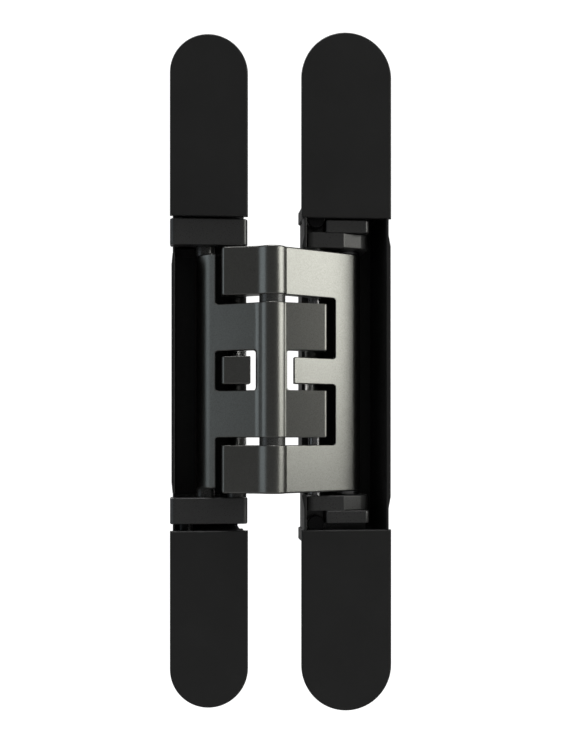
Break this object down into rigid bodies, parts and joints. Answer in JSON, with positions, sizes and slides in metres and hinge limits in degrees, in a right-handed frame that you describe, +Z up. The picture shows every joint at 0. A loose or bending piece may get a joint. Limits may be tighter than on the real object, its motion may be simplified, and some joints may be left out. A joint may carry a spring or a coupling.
{
  "type": "concealed door hinge",
  "caption": "Concealed mortise hinge for a door, opened flat, with a frame housing and a door housing joined by two crossed links.",
  "frame": {"origin": "centre of the frame housing's face, in the plane that is flush with the door frame's surface", "axes": "+X across the door edge from the frame housing to the door housing, +Y into the mortise, +Z up along the door edge"},
  "size_m": [0.0588, 0.0366, 0.18],
  "materials": {
    "housing_coat": "matte black coat on a die casting",
    "cover_coat": "fine matte black coat",
    "block_coat": "satin dark grey coat",
    "link_coat": "satin metallic grey coat with a fine grain",
    "pin_steel": "ground",
    "black_screw": "black oxide",
    "slide_plastic": "self-lubricating plastic",
    "washer_steel": "polished"
  },
  "bodies": {
    "frame_housing": {"frame_housing": "housing_coat", "frame_top_cover": "cover_coat", "frame_bottom_cover": "cover_coat", "height_screws": "black_screw"},
    "frame_carriage": {"frame_top_block": "block_coat", "frame_bottom_block": "block_coat", "frame_pivot_pin": "pin_steel"},
    "outer_link": {"outer_link": "link_coat", "outer_slide_pin": "pin_steel", "outer_slide_bushes": "slide_plastic", "outer_slide_washers": "washer_steel", "centre_pin": "pin_steel", "centre_washers": "slide_plastic", "frame_pivot_washers": "slide_plastic"},
    "inner_link": {"inner_link": "link_coat", "inner_slide_pin": "pin_steel", "inner_slide_bushes": "slide_plastic"},
    "door_carriage": {"door_top_bearing": "block_coat", "door_bottom_bearing": "block_coat", "door_top_clamp_plate": "block_coat", "door_bottom_clamp_plate": "block_coat", "clamp_screws": "black_screw", "door_pivot_pin": "pin_steel"},
    "door_housing": {"door_housing": "housing_coat", "door_top_cover": "cover_coat", "door_bottom_cover": "cover_coat"}
  },
  "joints": [
    {"name": "height_setting", "type": "slide", "parent": "frame_housing", "child": "frame_carriage", "axis": [0, 0, 1], "range_m": [-0.002, 0.001]},
    {"name": "frame_pivot", "type": "hinge", "parent": "frame_carriage", "child": "outer_link", "pos_m": [0.0075, 0.0055, 0], "axis": [0, 0, -1], "range_deg": [0, 98.16]},
    {"name": "knuckle", "type": "hinge", "parent": "outer_link", "child": "inner_link", "pos_m": [0.01625, -0.0048, 0], "axis": [0, 0, 1], "range_deg": [0, 24.75]},
    {"name": "door_pivot", "type": "hinge", "parent": "inner_link", "child": "door_carriage", "pos_m": [0.0285, 0.0055, 0], "axis": [0, 0, -1], "range_deg": [0, 106.6]},
    {"name": "side_setting", "type": "slide", "parent": "door_carriage", "child": "door_housing", "axis": [-1, 0, 0], "range_m": [0, 0.001]}
  ],
  "couplings": [
    {"joint": "knuckle", "follows": "frame_pivot", "ratio": 0.25208},
    {"joint": "door_pivot", "follows": "frame_pivot", "ratio": 1.0859}
  ]
}
